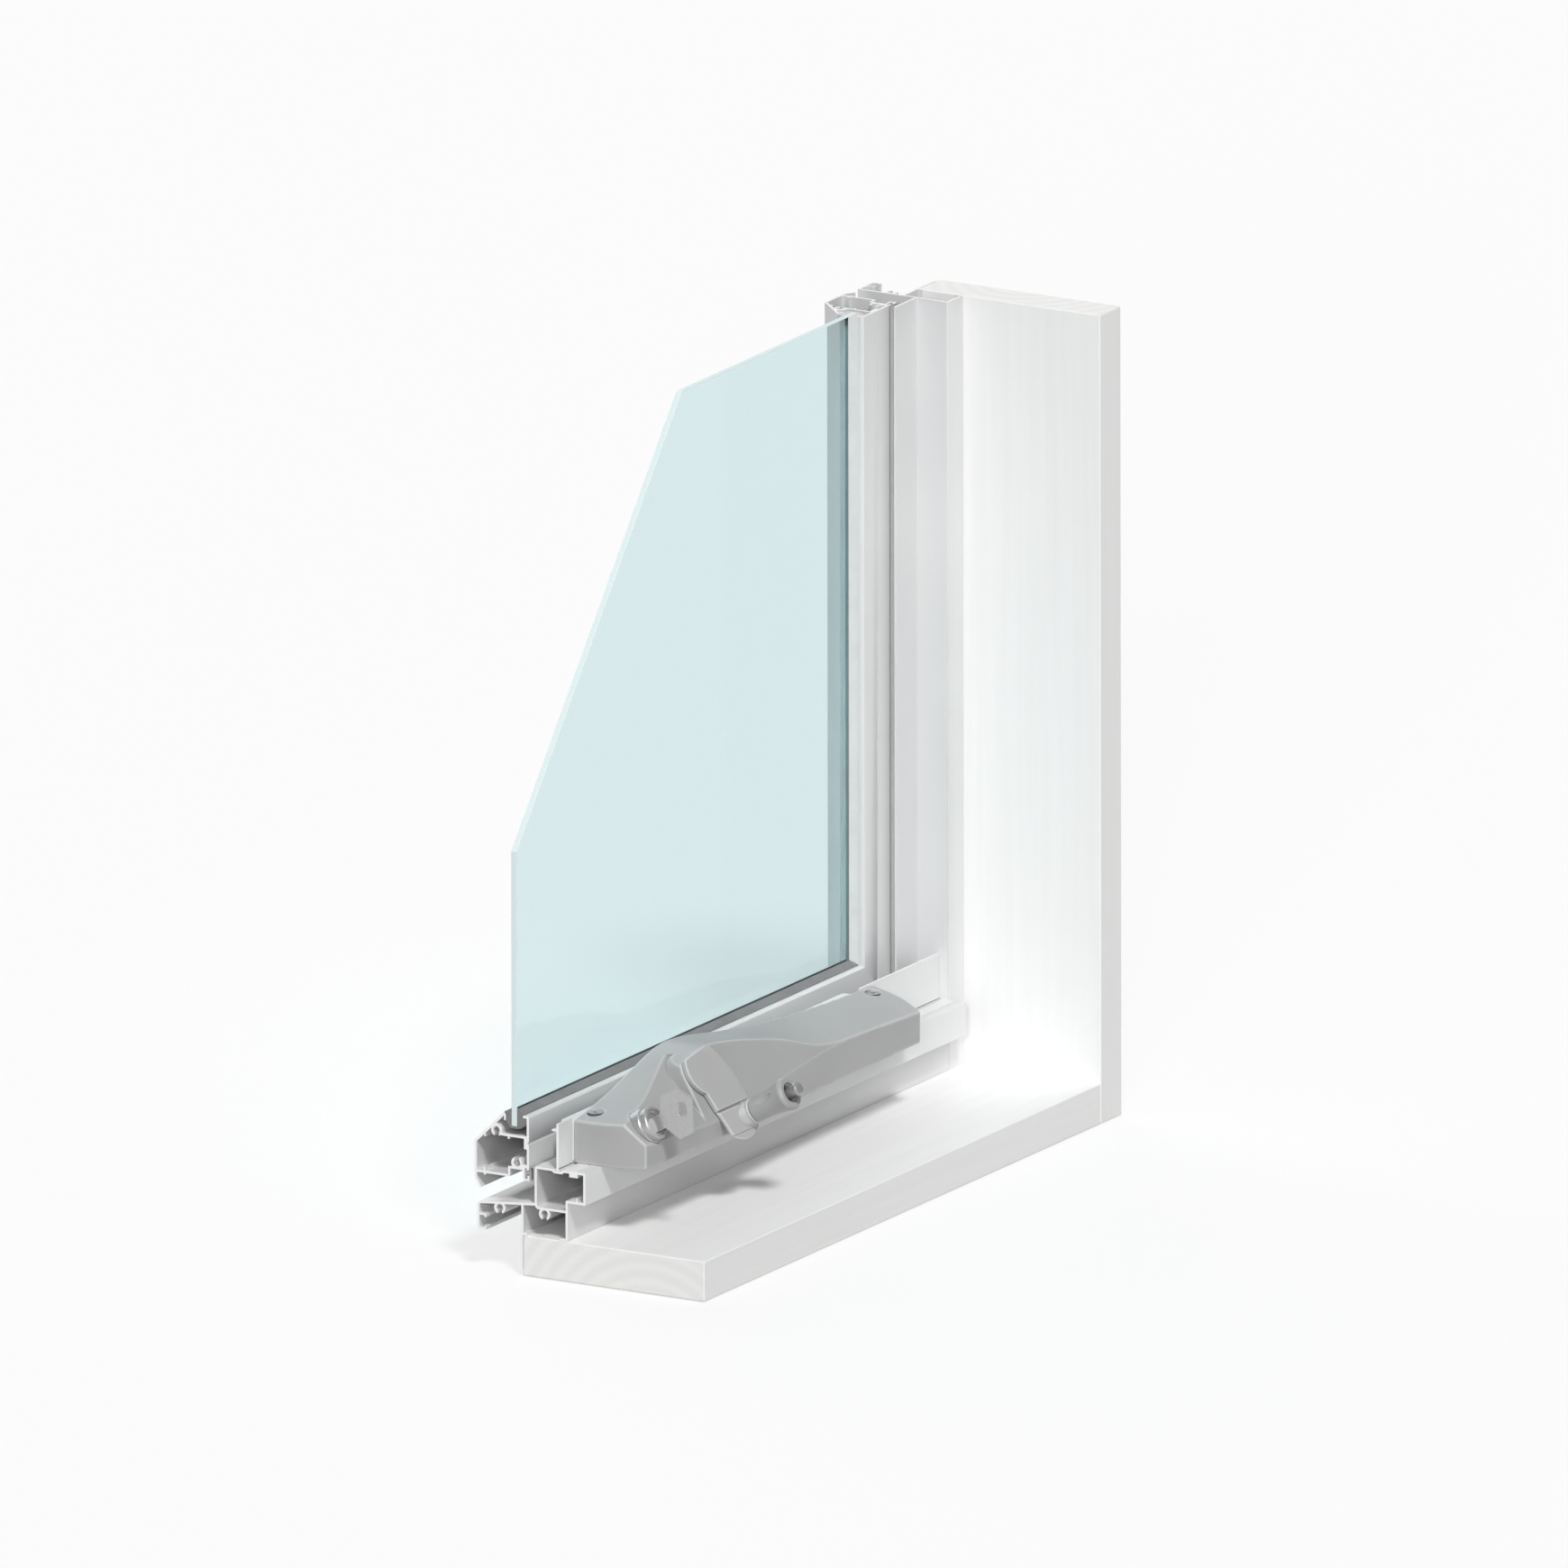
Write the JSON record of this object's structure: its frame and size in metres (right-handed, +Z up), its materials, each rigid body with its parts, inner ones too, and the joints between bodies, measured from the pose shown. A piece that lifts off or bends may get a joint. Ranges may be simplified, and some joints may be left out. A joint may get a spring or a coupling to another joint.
{
  "type": "awning window corner section",
  "caption": "Cut-away corner of an aluminium awning window with a glazed sash on rubber seals, timber reveals and a chain winder with crank, lock and key.",
  "frame": {"origin": "centre of the sill reveal board's underside", "axes": "+X along the sill towards the jamb, to the right seen from the room; +Y outwards through the glass; +Z up"},
  "size_m": [0.4, 0.1266, 0.4],
  "materials": {
    "primed_timber": "white primer",
    "frame_aluminium": "satin powder coat",
    "clear_glass": "clear float",
    "glazing_rubber": "matt",
    "seal_rubber": "matt",
    "pale_casting": "satin",
    "winder_grey": "satin",
    "bright_steel": "satin"
  },
  "bodies": {
    "window": {"sill_reveal": "primed_timber", "jamb_reveal": "primed_timber", "sill_frame": "frame_aluminium", "jamb_frame": "frame_aluminium", "sash_rail": "frame_aluminium", "sash_stile": "frame_aluminium", "sill_upstand": "frame_aluminium", "glass_pane": "clear_glass", "rail_gasket": "glazing_rubber", "stile_gasket": "glazing_rubber", "rail_seal": "seal_rubber", "stile_seal": "seal_rubber", "winder_body": "pale_casting", "winder_cover": "winder_grey", "lock_barrel": "winder_grey", "screw_left": "bright_steel", "screw_right": "bright_steel"},
    "crank": {"crank_arm": "winder_grey", "knob_pin": "bright_steel"},
    "knob": {"crank_knob": "winder_grey"},
    "key": {"lock_plug": "bright_steel", "winder_key": "winder_grey"}
  },
  "joints": [
    {"name": "crank_turn", "type": "hinge", "parent": "window", "child": "crank", "pos_m": [-0.11165, 0.00425, 0.08635], "axis": [0, -0.866, 0.5], "continuous": true},
    {"name": "knob_spin", "type": "hinge", "parent": "crank", "child": "knob", "pos_m": [-0.09005, -0.00983, 0.06197], "axis": [0, -0.866, 0.5], "continuous": true},
    {"name": "key_turn", "type": "hinge", "parent": "window", "child": "key", "pos_m": [-0.1685, -0.0002, 0.0729], "axis": [0, 0.866, -0.5], "range_deg": [0, 90]}
  ]
}
